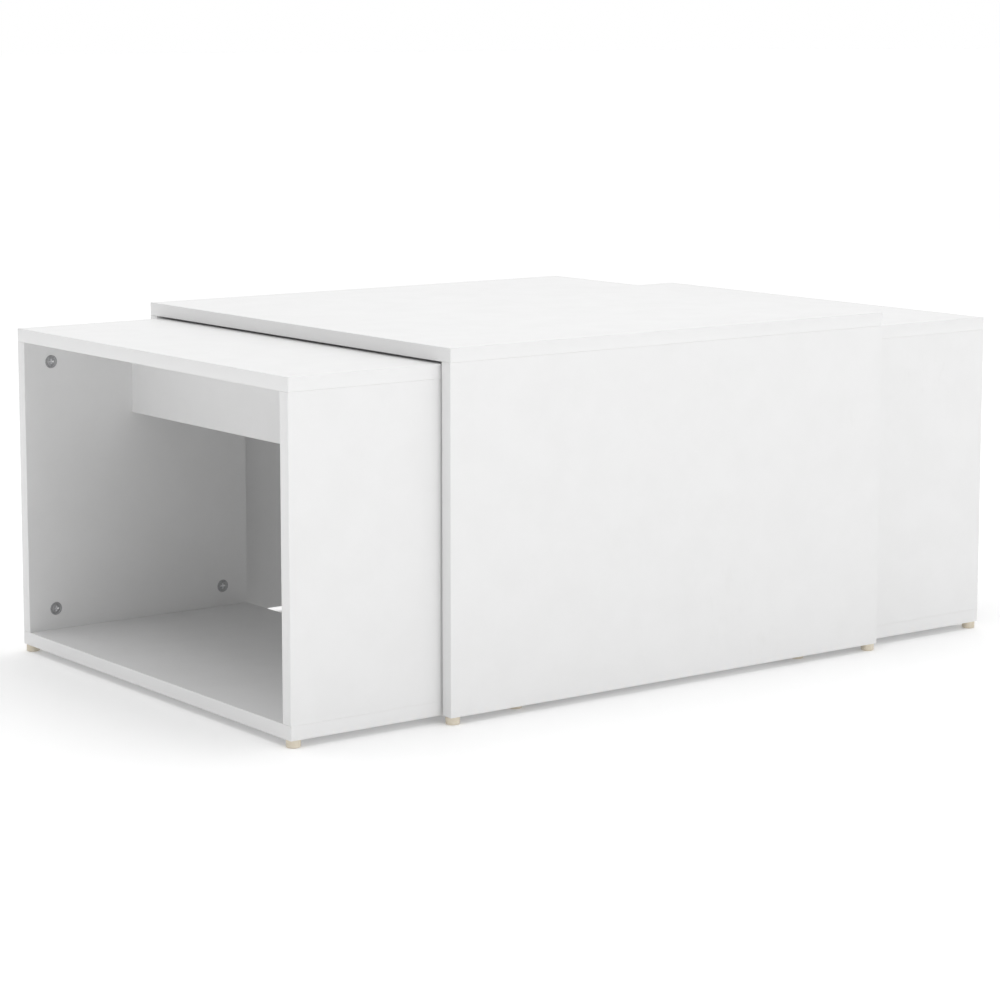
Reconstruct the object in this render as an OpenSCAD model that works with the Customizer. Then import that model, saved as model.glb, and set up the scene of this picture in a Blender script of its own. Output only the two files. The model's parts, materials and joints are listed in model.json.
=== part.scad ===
// A nesting set of three tables, built from melamine faced boards. The large table is open at both
// ends, and a small box table slides in from each end until the three faces line up.
// X is the way the small tables slide, Y runs from the front side board to the back one, Z is up.
// The origin is on the floor, under the middle of the large table.

/* [Large table] */
// Length of the large table, along the way the small tables slide
large_length = 600; // [480:10:900]
// Width of the large table, over its two side boards
large_width = 600; // [420:10:900]
// Height of the large table's boards, without the glides under them
large_height = 380; // [300:5:520]

/* [Small tables] */
// Gap between a nested small table and the boards beside, above and behind it
nest_gap = 2.5; // [1.5:0.5:6]
// How far each small table stands out of the large one
pull_out = 182; // [0:1:290]

/* [Boards] */
// Thickness of every board
board = 15; // [13:1:22]
// Thickness of the band glued on a board's edge
band = 0.5; // [0.4:0.1:2]
// Hairline left at each end of a band
band_joint = 0.1; // [0.05:0.05:0.3]
// Height of the rail under each top
rail_height = 90; // [60:5:140]

/* [Cam locks] */
// Diameter of a cam lock
lock_d = 15; // [14:0.5:18]
// Board left behind a cam lock's bore
lock_backing = 2.4; // [1.5:0.1:3]
// Distance from a side board's edge to its nearest cam locks
lock_inset = 34; // [25:1:60]
// Distance from the end of a board to its cam lock's centre
lock_reach = 24; // [22:1:34]

/* [Cam bolts] */
// Diameter of the screw end, which fills its pilot bore
thread_d = 5; // [4:0.5:6]
// Length of the screw end
thread_length = 11; // [9:0.5:12]
// Diameter of the plain shank
shank_d = 6.4; // [5:0.2:7]
// Diameter of the neck, between the cam lock's jaws
neck_d = 4.2; // [3:0.2:4.6]
// Diameter of the head, inside the cam lock
head_d = 7; // [6:0.2:7.4]
// Thickness of the head
head_thickness = 2.4; // [1.6:0.2:3]
// Diameter of the passage bored along a board for the shank
passage_d = 8; // [7.8:0.2:9]

/* [Dowels] */
// Diameter of a dowel
dowel_d = 8; // [6:1:9]
// Length of a dowel
dowel_length = 30; // [25:1:40]
// Board left behind a dowel's bore in a face
dowel_backing = 3.5; // [2:0.5:5]

/* [Glides] */
// Height of a glide
glide_height = 8; // [5:1:15]
// Radius of a glide's rounded lower edge
glide_round = 1.6; // [0.4:0.2:3]
// Diameter of a glide's nail
nail_d = 2; // [1.6:0.2:2.6]
// Diameter of the nail's head
nail_head_d = 4.8; // [4:0.2:6]
// Depth of the pocket that hides the nail's head
nail_pocket = 2.8; // [2:0.2:4]
// How far the nail goes into the board
nail_depth = 11; // [8:0.5:12]

/* [Fit] */
// Clearance around a dowel, nail, cam lock or screw end in its bore
slip = 0.05; // [0.02:0.01:0.1]
// Room left past the end of a dowel, screw end or cam lock in its bore
end_room = 0.3; // [0.2:0.1:0.6]

/* [Hidden] */

$fn = 48;
cut = 1; // how far a bore's cutter starts outside the board

board_white = "#F3F3F1";
band_white = "#FAFAF9";
zinc = "#A9ABAC";
steel = "#C3C6C9";
beech = "#D9B98A";
cream = "#E6DECD";

// The small tables fill the large one from both ends, with its rail between them
small_length = (large_length - board) / 2 - nest_gap;
small_width = large_width - 2 * board - 2 * nest_gap;
large_top_z = glide_height + large_height;
small_top_z = large_top_z - board - nest_gap;
small_x = large_length / 2 + pull_out - small_length / 2;

// How many dowels stand between the cam locks of one joint
large_dowels_per_joint = 4;
small_dowels_per_joint = 2;

// A glide is as wide as a board is thick, so it stands under a board's edge with nothing proud
glide_d = board;
glide_y_inset = board / 2;

// Cam lock details, in the lock's own axes: depth below its face, and size
lock_height = board - lock_backing - end_room;
lock_chamfer = 0.4;
head_room = 0.2;               // clearance around the bolt's head inside the lock
jaw_z = lock_reach - 4.1;      // where the jaws bear on the underside of the head
neck_room = 0.4;               // clearance between the neck and each jaw
face_ring_in = 3.6;            // inner and outer radius of the sunk ring round the boss
face_ring_out = 6.1;
face_ring_depth = 0.6;
cross_length = 6.4;
cross_width = 1.4;
cross_depth = 2.2;
arrow_size = 1.2;

// Cam bolt details
thread_turns = 6;
thread_root = 0.4;             // how far the thread is cut below its crest
collar_length = 1.2;
collar_d = passage_d - 0.4;
neck_start = 15;

dowel_chamfer = 0.8;
dowel_in_face = board - dowel_backing - end_room;
dowel_in_edge = dowel_length - dowel_in_face;

nail_head_thickness = 1;

// ---- Boards and their bands ----
// A board is [low corner, high corner, low faces with a band, high faces with a band]. The last two
// hold a 1 for each banded face, in X, Y, Z order.

function inner_low(b) = b[0] + band * b[2];
function inner_high(b) = b[1] - band * b[3];

// The hairline at a band's ends: none across the thickness of the board
function end_gap(b, k) = b[1][k] - b[0][k] > board + band ? band_joint : 0;

function strip_low(b, axis, end) = [
    for (k = [0:2])
        k == axis ? (end == 0 ? b[0][k] : b[1][k] - band)
                  : (k < axis ? inner_low(b)[k] : b[0][k]) + end_gap(b, k)
];
function strip_high(b, axis, end) = [
    for (k = [0:2])
        k == axis ? (end == 0 ? b[0][k] + band : b[1][k])
                  : (k < axis ? inner_high(b)[k] : b[1][k]) - end_gap(b, k)
];

module block(low, high) {
    translate(low) cube(high - low);
}

module board_core(b) {
    block(inner_low(b), inner_high(b));
}

module board_bands(b) {
    for (axis = [0:2], end = [0, 1])
        if (b[2 + end][axis] == 1)
            block(strip_low(b, axis, end), strip_high(b, axis, end));
}

// A board lying flat, banded on all four edges
function flat_board(length, width, low_z) = [
    [-length / 2, -width / 2, low_z], [length / 2, width / 2, low_z + board], [1, 1, 0], [1, 1, 0]
];

// The front side board, banded on its upright edges, and on its lower one where that stands free
function side_board(length, width, low_z, high_z, low_band) = [
    [-length / 2, -width / 2, low_z], [length / 2, -width / 2 + board, high_z],
    [1, 0, low_band], [1, 0, 0]
];

// The rail between the side boards, under the top, banded on its lower edge
function rail_board(width, top_z) = [
    [-board / 2, -width / 2 + board, top_z - board - rail_height],
    [board / 2, width / 2 - board, top_z - board],
    [0, 0, 1], [0, 0, 0]
];

large_top_board = flat_board(large_length, large_width, large_top_z - board);
large_side_board = side_board(large_length, large_width, glide_height, large_top_z - board, 1);
large_rail_board = rail_board(large_width, large_top_z);

small_top_board = flat_board(small_length, small_width, small_top_z - board);
small_bottom_board = flat_board(small_length, small_width, glide_height);
small_side_board = side_board(
    small_length, small_width, glide_height + board, small_top_z - board, 0
);
small_rail_board = rail_board(small_width, small_top_z);

// ---- Where the fixings go ----

function lock_xs(length) = [-length / 2 + lock_inset, length / 2 - lock_inset];

function dowel_xs(length, count) = [
    for (i = [1:count]) (length - 2 * lock_inset) * (i / (count + 1) - 0.5)
];

// Draws its children where the end of a side board meets a flat board. Their origin is on that face,
// halfway through the side board, with Z going into it and Y towards the inside of the table.
module at_top_joint(width, top_z) {
    translate([0, -width / 2 + board / 2, top_z - board]) rotate([0, 180, 0]) children();
}

module at_bottom_joint(width) {
    translate([0, -width / 2 + board / 2, glide_height + board]) children();
}

// The same where the front end of a rail meets the side board: Z goes into the rail, Y towards the
// rail's hidden face, and X up from the middle of its height.
module at_rail_joint(width, top_z) {
    translate([0, -width / 2 + board, top_z - board - rail_height / 2])
        rotate([-90, -90, 0])
            children();
}

// The lock is a third of the way up the rail's end and the dowel two thirds
rail_lock_x = -rail_height / 6;
rail_dowel_x = rail_height / 6;

module along_x(places) {
    for (x = places)
        translate([x, 0, 0]) children();
}

module front_and_back() {
    for (side = [0, 1])
        mirror([0, side, 0]) children();
}

// ---- Bores, in a joint's axes ----

module pilot_bore() {
    translate([0, 0, -thread_length - end_room])
        cylinder(d = thread_d + 2 * slip, h = thread_length + end_room + cut);
}

module dowel_face_bore() {
    translate([0, 0, -dowel_in_face - end_room])
        cylinder(d = dowel_d + 2 * slip, h = dowel_in_face + end_room + cut);
}

module dowel_edge_bore() {
    translate([0, 0, -cut])
        cylinder(d = dowel_d + 2 * slip, h = dowel_in_edge + end_room + cut);
}

module lock_bore() {
    translate([0, 0, -cut]) cylinder(d = passage_d, h = lock_reach + cut);
    translate([0, board / 2 + cut, lock_reach])
        rotate([90, 0, 0])
            cylinder(d = lock_d, h = cut + lock_height + end_room);
}

// What one joint cuts from the board it meets face on, and from the board it meets end on
module face_bores(lock_places, dowel_places) {
    along_x(lock_places) pilot_bore();
    along_x(dowel_places) dowel_face_bore();
}

module edge_bores(lock_places, dowel_places) {
    along_x(lock_places) lock_bore();
    along_x(dowel_places) dowel_edge_bore();
}

// ---- Fixings, in a joint's axes ----

// Zinc cam lock: a drum with a chamber for the bolt's head, jaws that close on the neck, an entry
// for the head at its side, a cross for the screwdriver and an arrow that points at the bolt
module cam_lock() {
    r = lock_d / 2 - slip;
    chamber_d = head_d + 2 * head_room;
    translate([0, board / 2, lock_reach])
        rotate([90, 0, 0])
            difference() {
                rotate_extrude()
                    polygon([
                        [0, 0], [r - lock_chamfer, 0], [r, lock_chamfer], [r, lock_height],
                        [0, lock_height]
                    ]);
                // sunk ring round the boss
                difference() {
                    translate([0, 0, -cut]) cylinder(r = face_ring_out, h = face_ring_depth + cut);
                    translate([0, 0, -2 * cut])
                        cylinder(r = face_ring_in, h = face_ring_depth + 4 * cut);
                }
                for (turn = [0, 90])
                    rotate([0, 0, turn])
                        translate([-cross_length / 2, -cross_width / 2, -cut])
                            cube([cross_length, cross_width, cross_depth + cut]);
                translate([0, -r, -cut])
                    cylinder(r = arrow_size, h = face_ring_depth + cut, $fn = 3);
                // chamber, from the far side of the head to the jaws
                translate([0, 0, board / 2])
                    rotate([90, 0, 0])
                        cylinder(d = chamber_d, h = lock_reach - jaw_z);
                // way in for the head, a quarter turn away from the jaws
                translate([0, 0, board / 2])
                    rotate([0, 90, 0])
                        cylinder(d = chamber_d, h = lock_d);
                // slot between the jaws
                translate([-neck_d / 2 - neck_room, -lock_d, board / 2 - neck_d / 2 - neck_room])
                    cube([neck_d + 2 * neck_room, lock_d, neck_d + 2 * neck_room]);
            }
}

// Steel cam bolt: a screw end in the face board, then collar, shank, neck and head
module cam_bolt() {
    crest = thread_d / 2;
    pitch = thread_length / thread_turns;
    thread = [
        for (i = [0:thread_turns - 1], half = [0, 1])
            [half == 0 ? crest - thread_root : crest, -thread_length + (i + (half + 0.5) / 2) * pitch]
    ];
    rotate_extrude()
        polygon(concat(
            [[0, -thread_length], [crest - thread_root, -thread_length]],
            thread,
            [
                [crest - thread_root, 0], [collar_d / 2, 0], [collar_d / 2, collar_length],
                [shank_d / 2, collar_length], [shank_d / 2, neck_start],
                [neck_d / 2, neck_start], [neck_d / 2, jaw_z], [head_d / 2, jaw_z],
                [head_d / 2, jaw_z + head_thickness], [0, jaw_z + head_thickness]
            ]
        ));
}

module dowel() {
    r = dowel_d / 2;
    low = -dowel_in_face;
    high = dowel_in_edge;
    rotate_extrude()
        polygon([
            [0, low], [r - dowel_chamfer, low], [r, low + dowel_chamfer],
            [r, high - dowel_chamfer], [r - dowel_chamfer, high], [0, high]
        ]);
}

// ---- Glides and nails ----

module at_glide(length, width, end, side) {
    translate([end * (length / 2 - glide_d / 2), side * (width / 2 - glide_y_inset), 0])
        children();
}

module at_all_glides(length, width) {
    for (end = [-1, 1], side = [-1, 1])
        at_glide(length, width, end, side) children();
}

module glide() {
    r = glide_d / 2;
    difference() {
        rotate_extrude()
            polygon(concat(
                [[0, glide_height], [0, 0]],
                [
                    for (a = [-90:15:0])
                        [r - glide_round + glide_round * cos(a), glide_round + glide_round * sin(a)]
                ],
                [[r, glide_height]]
            ));
        translate([0, 0, -cut]) cylinder(d = nail_head_d + 4 * slip, h = nail_pocket + cut);
        cylinder(d = nail_d + 2 * slip, h = glide_height + cut);
    }
}

module nail_bore() {
    cylinder(d = nail_d + 2 * slip, h = glide_height + nail_depth + end_room);
}

// Its head bears on the floor of the glide's pocket and its point tapers over the last length
module nail() {
    tip = glide_height + nail_depth;
    point = 2 * nail_d;
    rotate_extrude()
        polygon([
            [0, nail_pocket - nail_head_thickness],
            [nail_head_d / 2, nail_pocket - nail_head_thickness],
            [nail_head_d / 2, nail_pocket], [nail_d / 2, nail_pocket],
            [nail_d / 2, tip - point], [0, tip]
        ]);
}

// ---- The large table ----

large_locks = lock_xs(large_length);
large_dowel_places = dowel_xs(large_length, large_dowels_per_joint);

module large_side() {
    difference() {
        board_core(large_side_board);
        at_top_joint(large_width, large_top_z) edge_bores(large_locks, large_dowel_places);
        at_rail_joint(large_width, large_top_z) face_bores([rail_lock_x], [rail_dowel_x]);
        at_all_glides(large_length, large_width) nail_bore();
    }
}

module large_top() {
    color(board_white)
        difference() {
            board_core(large_top_board);
            front_and_back()
                at_top_joint(large_width, large_top_z)
                    face_bores(large_locks, large_dowel_places);
        }
}

module large_side_front() {
    color(board_white) large_side();
}

module large_side_back() {
    color(board_white) mirror([0, 1, 0]) large_side();
}

module large_rail() {
    color(board_white)
        difference() {
            board_core(large_rail_board);
            front_and_back()
                at_rail_joint(large_width, large_top_z)
                    edge_bores([rail_lock_x], [rail_dowel_x]);
        }
}

module large_edge_bands() {
    color(band_white)
        difference() {
            union() {
                board_bands(large_top_board);
                front_and_back() board_bands(large_side_board);
                board_bands(large_rail_board);
            }
            at_all_glides(large_length, large_width) nail_bore();
        }
}

module large_cam_locks() {
    color(zinc)
        front_and_back() {
            at_top_joint(large_width, large_top_z) along_x(large_locks) cam_lock();
            at_rail_joint(large_width, large_top_z) along_x([rail_lock_x]) cam_lock();
        }
}

module large_cam_bolts() {
    color(steel)
        front_and_back() {
            at_top_joint(large_width, large_top_z) along_x(large_locks) cam_bolt();
            at_rail_joint(large_width, large_top_z) along_x([rail_lock_x]) cam_bolt();
        }
}

module large_dowels() {
    color(beech)
        front_and_back() {
            at_top_joint(large_width, large_top_z) along_x(large_dowel_places) dowel();
            at_rail_joint(large_width, large_top_z) along_x([rail_dowel_x]) dowel();
        }
}

module large_glide_nails() {
    color(steel) at_all_glides(large_length, large_width) nail();
}

module large_glide_left_front() {
    color(cream) at_glide(large_length, large_width, -1, -1) glide();
}

module large_glide_left_back() {
    color(cream) at_glide(large_length, large_width, -1, 1) glide();
}

module large_glide_right_front() {
    color(cream) at_glide(large_length, large_width, 1, -1) glide();
}

module large_glide_right_back() {
    color(cream) at_glide(large_length, large_width, 1, 1) glide();
}

// ---- A small table, in its own axes: X = 0 at its middle, its outer end towards -X ----

small_locks = lock_xs(small_length);
small_dowel_places = dowel_xs(small_length, small_dowels_per_joint);

module small_top() {
    color(board_white)
        difference() {
            board_core(small_top_board);
            front_and_back()
                at_top_joint(small_width, small_top_z)
                    face_bores(small_locks, small_dowel_places);
        }
}

module small_bottom() {
    color(board_white)
        difference() {
            board_core(small_bottom_board);
            front_and_back()
                at_bottom_joint(small_width) face_bores(small_locks, small_dowel_places);
            at_all_glides(small_length, small_width) nail_bore();
        }
}

module small_side() {
    color(board_white)
        difference() {
            board_core(small_side_board);
            at_top_joint(small_width, small_top_z) edge_bores(small_locks, small_dowel_places);
            at_bottom_joint(small_width) edge_bores(small_locks, small_dowel_places);
            at_rail_joint(small_width, small_top_z) face_bores([rail_lock_x], [rail_dowel_x]);
        }
}

module small_rail() {
    color(board_white)
        difference() {
            board_core(small_rail_board);
            front_and_back()
                at_rail_joint(small_width, small_top_z)
                    edge_bores([rail_lock_x], [rail_dowel_x]);
        }
}

module small_edge_bands() {
    color(band_white) {
        board_bands(small_top_board);
        board_bands(small_bottom_board);
        front_and_back() board_bands(small_side_board);
        board_bands(small_rail_board);
    }
}

module small_cam_locks() {
    color(zinc)
        front_and_back() {
            at_top_joint(small_width, small_top_z) along_x(small_locks) cam_lock();
            at_bottom_joint(small_width) along_x(small_locks) cam_lock();
            at_rail_joint(small_width, small_top_z) along_x([rail_lock_x]) cam_lock();
        }
}

module small_cam_bolts() {
    color(steel)
        front_and_back() {
            at_top_joint(small_width, small_top_z) along_x(small_locks) cam_bolt();
            at_bottom_joint(small_width) along_x(small_locks) cam_bolt();
            at_rail_joint(small_width, small_top_z) along_x([rail_lock_x]) cam_bolt();
        }
}

module small_dowels() {
    color(beech)
        front_and_back() {
            at_top_joint(small_width, small_top_z) along_x(small_dowel_places) dowel();
            at_bottom_joint(small_width) along_x(small_dowel_places) dowel();
            at_rail_joint(small_width, small_top_z) along_x([rail_dowel_x]) dowel();
        }
}

module small_glide_nails() {
    color(steel) at_all_glides(small_length, small_width) nail();
}

module small_glide(end, side) {
    color(cream) at_glide(small_length, small_width, end, side) glide();
}

// ---- The left and right tables. The right one is the left one turned half a turn ----

module at_left() {
    translate([-small_x, 0, 0]) children();
}

module at_right() {
    translate([small_x, 0, 0]) rotate([0, 0, 180]) children();
}

module left_top() { at_left() small_top(); }
module left_bottom() { at_left() small_bottom(); }
module left_side_front() { at_left() small_side(); }
module left_side_back() { at_left() mirror([0, 1, 0]) small_side(); }
module left_rail() { at_left() small_rail(); }
module left_edge_bands() { at_left() small_edge_bands(); }
module left_cam_locks() { at_left() small_cam_locks(); }
module left_cam_bolts() { at_left() small_cam_bolts(); }
module left_dowels() { at_left() small_dowels(); }
module left_glide_nails() { at_left() small_glide_nails(); }
module left_glide_outer_front() { at_left() small_glide(-1, -1); }
module left_glide_outer_back() { at_left() small_glide(-1, 1); }
module left_glide_inner_front() { at_left() small_glide(1, -1); }
module left_glide_inner_back() { at_left() small_glide(1, 1); }

module right_top() { at_right() small_top(); }
module right_bottom() { at_right() small_bottom(); }
module right_side_front() { at_right() mirror([0, 1, 0]) small_side(); }
module right_side_back() { at_right() small_side(); }
module right_rail() { at_right() small_rail(); }
module right_edge_bands() { at_right() small_edge_bands(); }
module right_cam_locks() { at_right() small_cam_locks(); }
module right_cam_bolts() { at_right() small_cam_bolts(); }
module right_dowels() { at_right() small_dowels(); }
module right_glide_nails() { at_right() small_glide_nails(); }
module right_glide_outer_front() { at_right() small_glide(-1, 1); }
module right_glide_outer_back() { at_right() small_glide(-1, -1); }
module right_glide_inner_front() { at_right() small_glide(1, 1); }
module right_glide_inner_back() { at_right() small_glide(1, -1); }

large_top();
large_side_front();
large_side_back();
large_rail();
large_edge_bands();
large_cam_locks();
large_cam_bolts();
large_dowels();
large_glide_nails();
large_glide_left_front();
large_glide_left_back();
large_glide_right_front();
large_glide_right_back();
left_top();
left_bottom();
left_side_front();
left_side_back();
left_rail();
left_edge_bands();
left_cam_locks();
left_cam_bolts();
left_dowels();
left_glide_nails();
left_glide_outer_front();
left_glide_outer_back();
left_glide_inner_front();
left_glide_inner_back();
right_top();
right_bottom();
right_side_front();
right_side_back();
right_rail();
right_edge_bands();
right_cam_locks();
right_cam_bolts();
right_dowels();
right_glide_nails();
right_glide_outer_front();
right_glide_outer_back();
right_glide_inner_front();
right_glide_inner_back();
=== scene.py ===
"""The looks of a nesting set of three white tables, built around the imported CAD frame.

Units are metres, in the frame's own axes: X is the way the small tables slide, Y runs from the front
side board to the back one, and Z is up from the floor.
"""

import json
import math

import bmesh
import bpy
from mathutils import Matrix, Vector


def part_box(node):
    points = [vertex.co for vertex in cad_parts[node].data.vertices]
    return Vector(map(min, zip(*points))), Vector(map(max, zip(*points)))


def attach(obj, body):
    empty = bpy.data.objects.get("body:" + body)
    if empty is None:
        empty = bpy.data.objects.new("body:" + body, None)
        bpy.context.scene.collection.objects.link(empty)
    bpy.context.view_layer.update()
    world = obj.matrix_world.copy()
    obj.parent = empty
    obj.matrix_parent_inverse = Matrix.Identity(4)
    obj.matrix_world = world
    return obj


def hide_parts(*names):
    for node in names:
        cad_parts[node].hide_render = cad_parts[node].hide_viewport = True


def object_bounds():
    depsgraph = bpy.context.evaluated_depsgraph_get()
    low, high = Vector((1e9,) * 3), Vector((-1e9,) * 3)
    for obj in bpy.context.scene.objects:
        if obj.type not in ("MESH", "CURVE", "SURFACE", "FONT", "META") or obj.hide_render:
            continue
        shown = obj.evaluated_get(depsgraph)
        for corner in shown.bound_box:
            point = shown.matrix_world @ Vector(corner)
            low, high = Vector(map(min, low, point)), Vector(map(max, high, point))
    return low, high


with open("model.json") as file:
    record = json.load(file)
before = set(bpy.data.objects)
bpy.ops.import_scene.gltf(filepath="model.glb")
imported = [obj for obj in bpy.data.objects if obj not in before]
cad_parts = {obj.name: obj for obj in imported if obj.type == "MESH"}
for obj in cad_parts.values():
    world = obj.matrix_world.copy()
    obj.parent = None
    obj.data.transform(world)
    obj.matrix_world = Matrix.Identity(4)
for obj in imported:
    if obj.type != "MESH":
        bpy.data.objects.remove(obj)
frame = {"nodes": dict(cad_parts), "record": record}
cad_low, cad_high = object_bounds()

MM = 0.001
TABLES = ("large", "left", "right")


def nodes_ending(ending):
    """The objects of the CAD nodes whose names end so."""
    return [obj for name, obj in frame["nodes"].items() if name.endswith(ending)]


def body_nodes(table):
    """The names of the CAD nodes that one table is made of."""
    return frame["record"]["behaviour"]["bodies"][f"{table}_table"]


def body_of(node):
    """The CAD body that a node belongs to."""
    return next(f"{table}_table" for table in TABLES if node in body_nodes(table))


# ---- Shader helpers ----


class Shader:
    """A material's node tree, with short calls for the nodes that the finishes below share."""

    def __init__(self, name):
        self.material = bpy.data.materials.new(name)
        self.material.use_nodes = True
        self.tree = self.material.node_tree
        self.tree.nodes.clear()
        self.output = self.add("ShaderNodeOutputMaterial")
        self.surface = self.add("ShaderNodeBsdfPrincipled")
        self.link(self.surface.outputs["BSDF"], self.output.inputs["Surface"])
        self.place = self.add("ShaderNodeTexCoord").outputs["Object"]

    def add(self, kind, **settings):
        node = self.tree.nodes.new(kind)
        for key, value in settings.items():
            setattr(node, key, value)
        return node

    def link(self, source, target):
        self.tree.links.new(source, target)

    def set(self, **values):
        """Fixed values on the surface shader's own sockets."""
        for key, value in values.items():
            self.surface.inputs[key.replace("_", " ")].default_value = value

    def feed(self, socket, source):
        self.link(source, self.surface.inputs[socket])

    def noise(self, scale, detail=2.0, roughness=0.5, place=None, distortion=0.0):
        """Noise from 0 to 1, with scale in waves per metre."""
        node = self.add("ShaderNodeTexNoise")
        node.inputs["Scale"].default_value = scale
        node.inputs["Detail"].default_value = detail
        node.inputs["Roughness"].default_value = roughness
        node.inputs["Distortion"].default_value = distortion
        self.link(place or self.place, node.inputs["Vector"])
        return node.outputs["Fac"]

    def cells(self, scale):
        """Soft pebbles from 0 to 1, with scale in cells per metre."""
        node = self.add("ShaderNodeTexVoronoi", feature="SMOOTH_F1")
        node.inputs["Scale"].default_value = scale
        node.inputs["Smoothness"].default_value = 1.0
        self.link(self.place, node.inputs["Vector"])
        return node.outputs["Distance"]

    def stretched(self, factors):
        """The object's own coordinates, scaled by a factor along each axis."""
        node = self.add("ShaderNodeMapping")
        node.inputs["Scale"].default_value = factors
        self.link(self.place, node.inputs["Vector"])
        return node.outputs["Vector"]

    def ranged(self, source, low, high, out_low, out_high):
        """source mapped from low..high to out_low..out_high, and held there outside it."""
        node = self.add("ShaderNodeMapRange")
        for socket, value in (("From Min", low), ("From Max", high),
                              ("To Min", out_low), ("To Max", out_high)):
            node.inputs[socket].default_value = value
        self.link(source, node.inputs["Value"])
        return node.outputs["Result"]

    def math(self, operation, a, b):
        """Two values, each a socket or a number, put through a Math node."""
        node = self.add("ShaderNodeMath", operation=operation)
        for socket, value in zip(node.inputs, (a, b)):
            if isinstance(value, (int, float)):
                socket.default_value = value
            else:
                self.link(value, socket)
        return node.outputs["Value"]

    def mix(self, factor, a, b):
        """Two colours mixed by a factor that is a socket or a number."""
        node = self.add("ShaderNodeMix", data_type="RGBA", blend_type="MIX")
        for socket, value in zip((node.inputs[0], node.inputs[6], node.inputs[7]), (factor, a, b)):
            if isinstance(value, (int, float)):
                socket.default_value = value
            elif isinstance(value, tuple):
                socket.default_value = (*value, 1.0)
            else:
                self.link(value, socket)
        return node.outputs[2]

    def edges(self, radius, low=0.02, high=0.30):
        """1 on the piece's sharp edges, falling to 0 a radius away from them."""
        bevel = self.add("ShaderNodeBevel", samples=4)
        bevel.inputs["Radius"].default_value = radius
        true = self.add("ShaderNodeNewGeometry")
        dot = self.add("ShaderNodeVectorMath", operation="DOT_PRODUCT")
        self.link(bevel.outputs["Normal"], dot.inputs[0])
        self.link(true.outputs["Normal"], dot.inputs[1])
        return self.ranged(self.math("SUBTRACT", 1.0, dot.outputs["Value"]), low, high, 0.0, 1.0)

    def bump(self, height, distance, strength, normal=None):
        """The surface raised by height times distance, on top of another bump if one is given."""
        node = self.add("ShaderNodeBump")
        node.inputs["Distance"].default_value = distance
        node.inputs["Strength"].default_value = strength
        self.link(height, node.inputs["Height"])
        if normal is not None:
            self.link(normal, node.inputs["Normal"])
        return node.outputs["Normal"]


# ---- Finishes ----

BOARD_WHITE = (0.792, 0.792, 0.792)
BOARD_SHADE = (0.778, 0.778, 0.777)
BAND_WHITE = (0.792, 0.792, 0.792)
SCUFF = (0.60, 0.59, 0.57)


def melamine():
    """White melamine skin: a fine pearl texture, faint cloudiness and a few soft rub marks."""
    s = Shader("white_melamine")
    cloud = s.ranged(s.noise(20.0, 4.0, 0.6), 0.38, 0.62, 0.0, 1.0)
    grain = s.ranged(s.noise(1500.0, 1.0), 0.3, 0.7, 0.0, 1.0)
    colour = s.mix(cloud, BOARD_WHITE, BOARD_SHADE)
    colour = s.mix(s.math("MULTIPLY", grain, 0.12), colour, BOARD_SHADE)
    patches = s.ranged(s.noise(9.0, 2.0), 0.60, 0.72, 0.0, 1.0)
    strokes = s.noise(140.0, 3.0, place=s.stretched((1.0, 0.2, 0.35)))
    rubbed = s.math("MULTIPLY", patches, s.ranged(strokes, 0.55, 0.7, 0.0, 1.0))
    s.feed("Base Color", s.mix(s.math("MULTIPLY", rubbed, 0.08), colour, SCUFF))
    s.feed("Roughness", s.math("SUBTRACT", s.ranged(s.noise(30.0, 4.0), 0.3, 0.7, 0.38, 0.47),
                               s.math("MULTIPLY", rubbed, 0.06)))
    wave = s.bump(s.noise(45.0, 2.0), 0.12 * MM, 0.35)
    s.feed("Normal", s.bump(s.cells(950.0), 0.05 * MM, 0.5, wave))
    s.set(IOR=1.5)
    return s.material


def banding():
    """Edge band: the same white in plastic, smoother than the board's face."""
    s = Shader("white_edge_band")
    tint = s.ranged(s.noise(7.0, 2.0), 0.35, 0.65, 0.0, 0.5)
    touched = s.ranged(s.noise(70.0, 3.0), 0.5, 0.66, 0.0, 0.6)
    handled = s.math("MULTIPLY", s.edges(0.5 * MM), touched)
    s.feed("Base Color", s.mix(handled, s.mix(tint, BAND_WHITE, BOARD_SHADE), SCUFF))
    s.feed("Roughness", s.ranged(s.noise(120.0, 3.0), 0.3, 0.7, 0.32, 0.42))
    s.feed("Normal", s.bump(s.noise(600.0, 2.0), 0.04 * MM, 0.5))
    s.set(IOR=1.5)
    return s.material


def die_cast(name, dark, light, smooth):
    """Die-cast zinc: mottled between two greys, with brighter worn edges."""
    s = Shader(name)
    blotch = s.noise(900.0, 4.0, 0.6)
    dull = s.mix(s.ranged(blotch, 0.35, 0.65, 0.0, 1.0), dark, light)
    worn = s.edges(0.25 * MM, 0.02, 0.25)
    s.feed("Base Color", s.mix(s.math("MULTIPLY", worn, 0.8), dull, (0.78, 0.78, 0.79)))
    s.feed("Roughness", s.ranged(blotch, 0.3, 0.7, smooth, smooth + 0.2))
    s.feed("Normal", s.bump(s.noise(2600.0, 3.0), 0.04 * MM, 0.6))
    s.set(Metallic=1.0)
    return s.material


def plated_steel():
    """Bright zinc plating, with faint turning marks and a slight yellow bloom."""
    s = Shader("plated_steel")
    bloom = s.ranged(s.noise(260.0, 3.0), 0.35, 0.65, 0.0, 1.0)
    s.feed("Base Color", s.mix(bloom, (0.62, 0.63, 0.65), (0.66, 0.63, 0.56)))
    s.feed("Roughness", s.ranged(s.noise(1400.0, 3.0), 0.3, 0.7, 0.22, 0.38))
    turning = s.noise(3000.0, 2.0, place=s.stretched((1.0, 1.0, 6.0)))
    s.feed("Normal", s.bump(turning, 0.02 * MM, 0.5))
    s.set(Metallic=1.0)
    return s.material


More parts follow.
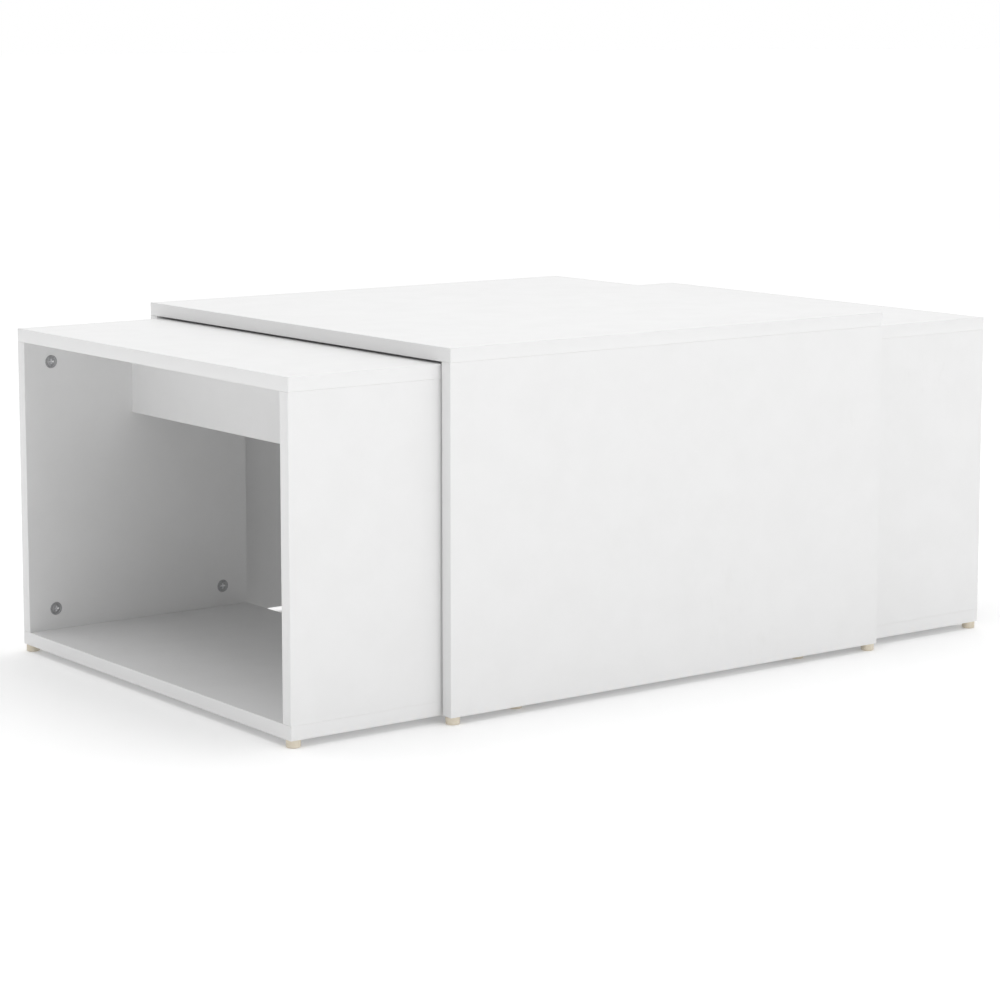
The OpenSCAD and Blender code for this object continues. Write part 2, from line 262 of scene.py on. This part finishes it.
def beech():
    """Plain beech: fine grain along the dowel with short dark flecks."""
    s = Shader("beech")
    grain = s.noise(900.0, 4.0, 0.6, place=s.stretched((1.0, 1.0, 0.08)))
    flecks = s.ranged(s.noise(1600.0, 2.0, place=s.stretched((1.0, 1.0, 0.2))), 0.62, 0.7, 0.0, 0.6)
    wood = s.mix(grain, (0.66, 0.46, 0.28), (0.80, 0.62, 0.42))
    s.feed("Base Color", s.mix(flecks, wood, (0.45, 0.27, 0.14)))
    s.feed("Roughness", s.ranged(grain, 0.3, 0.7, 0.55, 0.72))
    s.feed("Normal", s.bump(grain, 0.08 * MM, 0.6))
    return s.material


def moulded_cream():
    """Cream moulded plastic: a waxy surface with faint flow marks, scuffed where it slides."""
    s = Shader("cream_plastic")
    flow = s.ranged(s.noise(220.0, 3.0, distortion=0.6), 0.35, 0.65, 0.0, 1.0)
    colour = s.mix(flow, (0.72, 0.66, 0.55), (0.67, 0.60, 0.48))
    slid = s.ranged(s.noise(500.0, 3.0), 0.45, 0.65, 0.0, 0.6)
    scuffed = s.math("MULTIPLY", s.edges(0.9 * MM), slid)
    s.feed("Base Color", s.mix(scuffed, colour, (0.52, 0.48, 0.42)))
    s.feed("Roughness", s.ranged(s.noise(700.0, 3.0), 0.3, 0.7, 0.36, 0.52))
    s.feed("Normal", s.bump(s.noise(1500.0, 2.0), 0.04 * MM, 0.5))
    s.set(Subsurface_Weight=0.08, Subsurface_Radius=(0.004, 0.003, 0.002), Subsurface_Scale=0.5)
    return s.material


FINISHES = {
    "white_board": melamine(),
    "edge_band": banding(),
    "cam_lock_zinc": die_cast("die_cast_zinc", (0.34, 0.34, 0.35), (0.54, 0.54, 0.55), 0.36),
    "bolt_steel": plated_steel(),
    "nail_steel": plated_steel(),
    "beech_dowel": beech(),
    "glide_plastic": moulded_cream(),
}

# The cross recess's zinc is lighter than the lock's face. This is partly screwdriver wear and partly a
# painted highlight where its flanks would catch the light.
WORN_AND_HIGHLIT_ZINC = die_cast("worn_and_highlit_zinc", (0.74, 0.74, 0.75), (0.86, 0.86, 0.87), 0.34)

for part in frame["record"]["subparts"]:
    cad = frame["nodes"][part["node"]]
    cad.data.materials.clear()
    cad.data.materials.append(FINISHES[part["material_slot"]])


# ---- CAD nodes: joined faces and small machined edges ----

SAME_PLACE = 0.002 * MM  # points this close are one point
EDGE_WIDTHS = {  # width of the machined edge on each kind of board
    "_top": 0.12 * MM,
    "_bottom": 0.12 * MM,
    "_side_front": 0.30 * MM,
    "_side_back": 0.30 * MM,
    "_rail": 0.35 * MM,
}


def round_edges(obj, width):
    bevel = obj.modifiers.new("round_edges", "BEVEL")
    bevel.width = width
    bevel.segments = 2
    bevel.limit_method = "ANGLE"
    bevel.angle_limit = math.radians(40)
    bevel.miter_outer = "MITER_ARC"
    bevel.use_clamp_overlap = True
    bevel.harden_normals = True


def soften(obj, width):
    """Joins the faces that the frame holds apart and rounds the edges between them."""
    weld = obj.modifiers.new("join_faces", "WELD")
    weld.merge_threshold = SAME_PLACE
    round_edges(obj, width)


for ending, width in EDGE_WIDTHS.items():
    for board in nodes_ending(ending):
        soften(board, width)


# ---- Shared mesh helpers ----


def islands(bm):
    """The mesh's separate solids, each as its list of vertices, in the same order each run."""
    reached = set()
    for start in bm.verts:
        if start in reached:
            continue
        reached.add(start)
        solid = [start]
        for vert in solid:
            for edge in vert.link_edges:
                other = edge.other_vert(vert)
                if other not in reached:
                    reached.add(other)
                    solid.append(other)
        yield solid


def extent(points):
    """The lowest and highest corner of the box round some points."""
    low = Vector([min(p[k] for p in points) for k in range(3)])
    high = Vector([max(p[k] for p in points) for k in range(3)])
    return low, high


def joined_copy(node):
    """A CAD node's mesh with the faces that the frame holds apart joined, in metres at rest."""
    bm = bmesh.new()
    bm.from_mesh(frame["nodes"][node].data)
    bmesh.ops.remove_doubles(bm, verts=bm.verts, dist=SAME_PLACE)
    return bm


def put_in_place(bm, name, node, materials):
    """The finished piece in place of its CAD node."""
    mesh = bpy.data.meshes.new(name)
    bm.to_mesh(mesh)
    bm.free()
    for material in materials:
        mesh.materials.append(material)
    mesh.shade_smooth()
    mesh.set_sharp_from_angle(angle=math.radians(30))
    piece = bpy.data.objects.new(name, mesh)
    bpy.context.scene.collection.objects.link(piece)
    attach(piece, body_of(node))
    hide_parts(node)
    return piece


# ---- Edge bands: strips with their outer edges scraped round ----

BAND_ROUND = 0.45 * MM


def add_in_order(bm, part):
    """Adds a small mesh to a larger one, in an order that rests only on where its points are."""
    placed = {point: bm.verts.new(point) for point in sorted(tuple(v.co) for v in part.verts)}
    faces = []
    for face in part.faces:
        corners = [tuple(vert.co) for vert in face.verts]
        first = corners.index(min(corners))
        faces.append(corners[first:] + corners[:first])
    for corners in sorted(faces):
        bm.faces.new([placed[point] for point in corners])


def strip(bm, low, high, outward, axis):
    """One strip: every outer edge is rounded on an end band, and the long ones on the others."""
    part = bmesh.new()
    made = bmesh.ops.create_cube(part, size=1.0)["verts"]
    for vert in made:
        vert.co = Vector([low[k] if vert.co[k] < 0 else high[k] for k in range(3)])
    outer = high[axis] if outward > 0 else low[axis]
    long_axis = max(range(3), key=lambda k: high[k] - low[k])
    edges = []
    for edge in dict.fromkeys(edge for vert in made for edge in vert.link_edges):
        a, b = (vert.co for vert in edge.verts)
        along = max(range(3), key=lambda k: abs(a[k] - b[k]))
        if a[axis] == b[axis] == outer and (axis == 0 or along == long_axis):
            edges.append(edge)
    bmesh.ops.bevel(part, geom=edges, offset=BAND_ROUND, segments=4, profile=0.5, affect="EDGES")
    add_in_order(bm, part)
    part.free()


def dress_bands(table):
    """Makes a table's strips again, with the rounded edges facing away from their boards."""
    node = f"{table}_edge_bands"
    boards = [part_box(name) for name in body_nodes(table) if name.endswith(tuple(EDGE_WIDTHS))]
    cad = joined_copy(node)
    bands = [extent([v.co for v in solid]) for solid in islands(cad)]
    cad.free()
    bm = bmesh.new()
    for low, high in bands:
        size, middle = high - low, (low + high) / 2
        axis = min(range(3), key=lambda k: size[k])
        host = min(boards, key=lambda box: sum(max(box[0][k] - middle[k], middle[k] - box[1][k], 0.0)
                                               for k in range(3)))
        strip(bm, low, high, middle[axis] - (host[0][axis] + host[1][axis]) / 2, axis)
    put_in_place(bm, f"{table}_scraped_bands", node, [FINISHES["edge_band"]])


# ---- Cam locks: the CAD locks with a tapered cross, a dished ring, rubbed edges, and a cross coloured lighter as screwdriver wear and painted highlight ----

RING_IN = 3.6 * MM  # the sunk ring's inner and outer radius, and how far its walls lean in
RING_OUT = 6.1 * MM
RING_LEAN = 0.7 * MM
CROSS_DEPTH = 2.2 * MM
CROSS_FLARE = 1.35  # how much wider the cross is at the face, and how much narrower at its bottom
CROSS_TAPER = 0.45
CROSS_CENTRE = 1.5 * MM  # corners nearer the middle than this are the ones between the cross's arms
RING_FLOOR = (0.4 * MM, 0.8 * MM)  # depths that the ring's floor lies between
ON_RADIUS = 0.1 * MM  # how near a corner is to a radius that it is taken to lie on


def face_of_lock(low, high, hosts):
    """The axis that a lock is set along, its middle, and its outer face: flush with its board's."""
    size = high - low
    axis = min(range(3), key=lambda k: size[k])
    middle = (low + high) / 2
    for host_low, host_high in hosts:
        if all(host_low[k] < middle[k] < host_high[k] for k in range(3)):
            at_low = low[axis] - host_low[axis] < host_high[axis] - high[axis]
            return axis, middle, low[axis] if at_low else high[axis]
    raise ValueError("a cam lock lies in no board")


def dress_lock(solid, axis, middle, outer):
    """Flares the cross, tapers it with depth, and leans the ring's walls in."""
    across = [k for k in range(3) if k != axis]

    def radius(point):
        return math.hypot(*(point[k] - middle[k] for k in across))

    def depth(point):
        return abs(point[axis] - outer)

    def widen(vert, factor):
        for k in across:
            vert.co[k] = middle[k] + (vert.co[k] - middle[k]) * factor

    cross = {v for v in solid if depth(v.co) < CROSS_DEPTH * 1.2 and radius(v.co) < RING_IN * 0.97}
    # Faces wholly inside the cross take the lighter zinc, which is wear plus a painted highlight.
    for face in {face for vert in cross for face in vert.link_faces}:
        if all(vert in cross for vert in face.verts):
            face.material_index = 1
    ring_floor = [v for v in solid if RING_FLOOR[0] < depth(v.co) < RING_FLOOR[1]]
    for vert in cross:
        if depth(vert.co) > CROSS_DEPTH * 0.8:
            widen(vert, CROSS_TAPER)
        elif radius(vert.co) < CROSS_CENTRE:
            widen(vert, CROSS_FLARE)
        else:
            arm = max(across, key=lambda k: abs(vert.co[k] - middle[k]))
            side = next(k for k in across if k != arm)
            vert.co[side] = middle[side] + (vert.co[side] - middle[side]) * CROSS_FLARE
    for vert in ring_floor:
        at = radius(vert.co)
        if abs(at - RING_OUT) < ON_RADIUS:
            widen(vert, 1 - RING_LEAN / at)
        elif abs(at - RING_IN) < ON_RADIUS:
            widen(vert, 1 + RING_LEAN / at)


def dress_locks(table):
    node = f"{table}_cam_locks"
    hosts = [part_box(f"{table}_{board}") for board in ("side_front", "side_back", "rail")]
    bm = joined_copy(node)
    for solid in list(islands(bm)):
        dress_lock(solid, *face_of_lock(*extent([v.co for v in solid]), hosts))
    piece = put_in_place(bm, f"{table}_dressed_locks", node, [FINISHES["cam_lock_zinc"], WORN_AND_HIGHLIT_ZINC])
    round_edges(piece, 0.12 * MM)


for table in TABLES:
    dress_bands(table)
    dress_locks(table)


# ---- Stage and light ----

centre = (cad_low + cad_high) / 2
FLOOR_REACH = 60.0  # half the floor's width
# The floor's glow is painted light. It is weaker near the tables, which gives a painted shade around
# them, and stronger further out.
GLOW_FROM, GLOW_TO = 0.55, 1.8  # distances between which the floor's glow rises
GLOW_NEAR, GLOW_FAR = 0.145, 0.37  # its strength at each
SKY_LOBES = ((0.0, 0.0, 0.682), (0.0, 0.738, 0.0), (0.464, 0.0, 0.0))  # direction times strength


def make_floor():
    """A near-white floor with painted light: it glows, more away from the tables, so the dimmer glow
    near them is a painted shade round the set.
    """
    r = FLOOR_REACH
    mesh = bpy.data.meshes.new("floor")
    mesh.from_pydata([(-r, -r, 0), (r, -r, 0), (r, r, 0), (-r, r, 0)], [], [(0, 1, 2, 3)])
    floor = bpy.data.objects.new("floor", mesh)
    bpy.context.scene.collection.objects.link(floor)
    s = Shader("pale_floor")
    tone = s.ranged(s.noise(3.0, 2.0), 0.3, 0.7, 0.0, 1.0)
    s.feed("Base Color", s.mix(tone, (0.895, 0.895, 0.895), (0.905, 0.905, 0.905)))
    reach = s.add("ShaderNodeVectorMath", operation="LENGTH")
    s.link(s.place, reach.inputs[0])
    # Painted light: floor emission by distance from the set's middle, dimmer near the tables as a
    # painted shade.
    painted_glow = s.ranged(reach.outputs["Value"], GLOW_FROM, GLOW_TO, GLOW_NEAR, GLOW_FAR)
    painted_glow.node.interpolation_type = "SMOOTHSTEP"
    s.feed("Emission Strength", painted_glow)
    s.set(Roughness=0.9, Specular_IOR_Level=0.0, Emission_Color=(1.0, 1.0, 1.0, 1.0))
    mesh.materials.append(s.material)


def softbox(name, place, size, power):
    """A rectangular area light aimed at the middle of the set, not seen itself."""
    data = bpy.data.lights.new(name, "AREA")
    data.shape = "RECTANGLE"
    data.size, data.size_y = size
    data.energy = power
    light = bpy.data.objects.new(name, data)
    light.location = place
    light.rotation_euler = (centre - Vector(place)).to_track_quat("-Z", "Y").to_euler()
    light.visible_camera = False
    bpy.context.scene.collection.objects.link(light)


def make_world():
    """White to the eye, and lighting the set from above, behind and the right."""
    world = bpy.data.worlds.new("studio")
    world.use_nodes = True
    bpy.context.scene.world = world
    tree = world.node_tree
    tree.nodes.clear()

    def add(kind, **settings):
        node = tree.nodes.new(kind)
        for key, value in settings.items():
            setattr(node, key, value)
        return node

    direction = add("ShaderNodeTexCoord").outputs["Generated"]
    total = None
    for lobe in SKY_LOBES:
        dot = add("ShaderNodeVectorMath", operation="DOT_PRODUCT")
        tree.links.new(direction, dot.inputs[0])
        dot.inputs[1].default_value = lobe
        positive = add("ShaderNodeMath", operation="MAXIMUM")
        tree.links.new(dot.outputs["Value"], positive.inputs[0])
        positive.inputs[1].default_value = 0.0
        if total is None:
            total = positive.outputs["Value"]
        else:
            joined = add("ShaderNodeMath", operation="ADD")
            tree.links.new(total, joined.inputs[0])
            tree.links.new(positive.outputs["Value"], joined.inputs[1])
            total = joined.outputs["Value"]
    light = add("ShaderNodeBackground")
    tree.links.new(total, light.inputs["Strength"])
    seen = add("ShaderNodeBackground")
    light.inputs["Color"].default_value = seen.inputs["Color"].default_value = (1.0, 1.0, 1.0, 1.0)
    both = add("ShaderNodeMixShader")
    tree.links.new(add("ShaderNodeLightPath").outputs["Is Camera Ray"], both.inputs["Fac"])
    tree.links.new(light.outputs["Background"], both.inputs[1])
    tree.links.new(seen.outputs["Background"], both.inputs[2])
    tree.links.new(both.outputs["Shader"], add("ShaderNodeOutputWorld").inputs["Surface"])


make_floor()
make_world()
softbox("overhead", (0.0, 0.0, 3.2), (3.5, 3.5), 43.3)
softbox("front", (0.8, -4.2, 1.8), (3.0, 2.4), 28.3)
softbox("front_low", (-1.0, -4.4, 0.6), (3.4, 1.0), 27.3)
softbox("left_low", (-4.4, -1.0, 0.55), (3.0, 0.9), 16.4)

# ---- Camera ----

bpy.context.scene.view_settings.view_transform = "Standard"

CAMERA_PLACE = (-1.96471, -2.61386, 0.71002)
CAMERA_TURN = -36.737  # degrees about Z, from looking along +Y
CAMERA_DIP = 7.481  # degrees below level
CAMERA_LENS = 102.98  # millimetres, on a sensor 36 wide
CAMERA_SHIFT = -0.10  # the frame is moved down by a tenth of its width

camera_data = bpy.data.cameras.new("camera")
camera_data.sensor_width = 36.0
camera_data.lens = CAMERA_LENS
camera_data.shift_y = CAMERA_SHIFT
camera_data.clip_start = 0.1
camera_data.clip_end = 200.0
camera = bpy.data.objects.new("camera", camera_data)
camera.location = CAMERA_PLACE
camera.rotation_euler = (math.radians(90.0 - CAMERA_DIP), 0.0, math.radians(CAMERA_TURN))
bpy.context.scene.collection.objects.link(camera)
bpy.context.scene.camera = camera
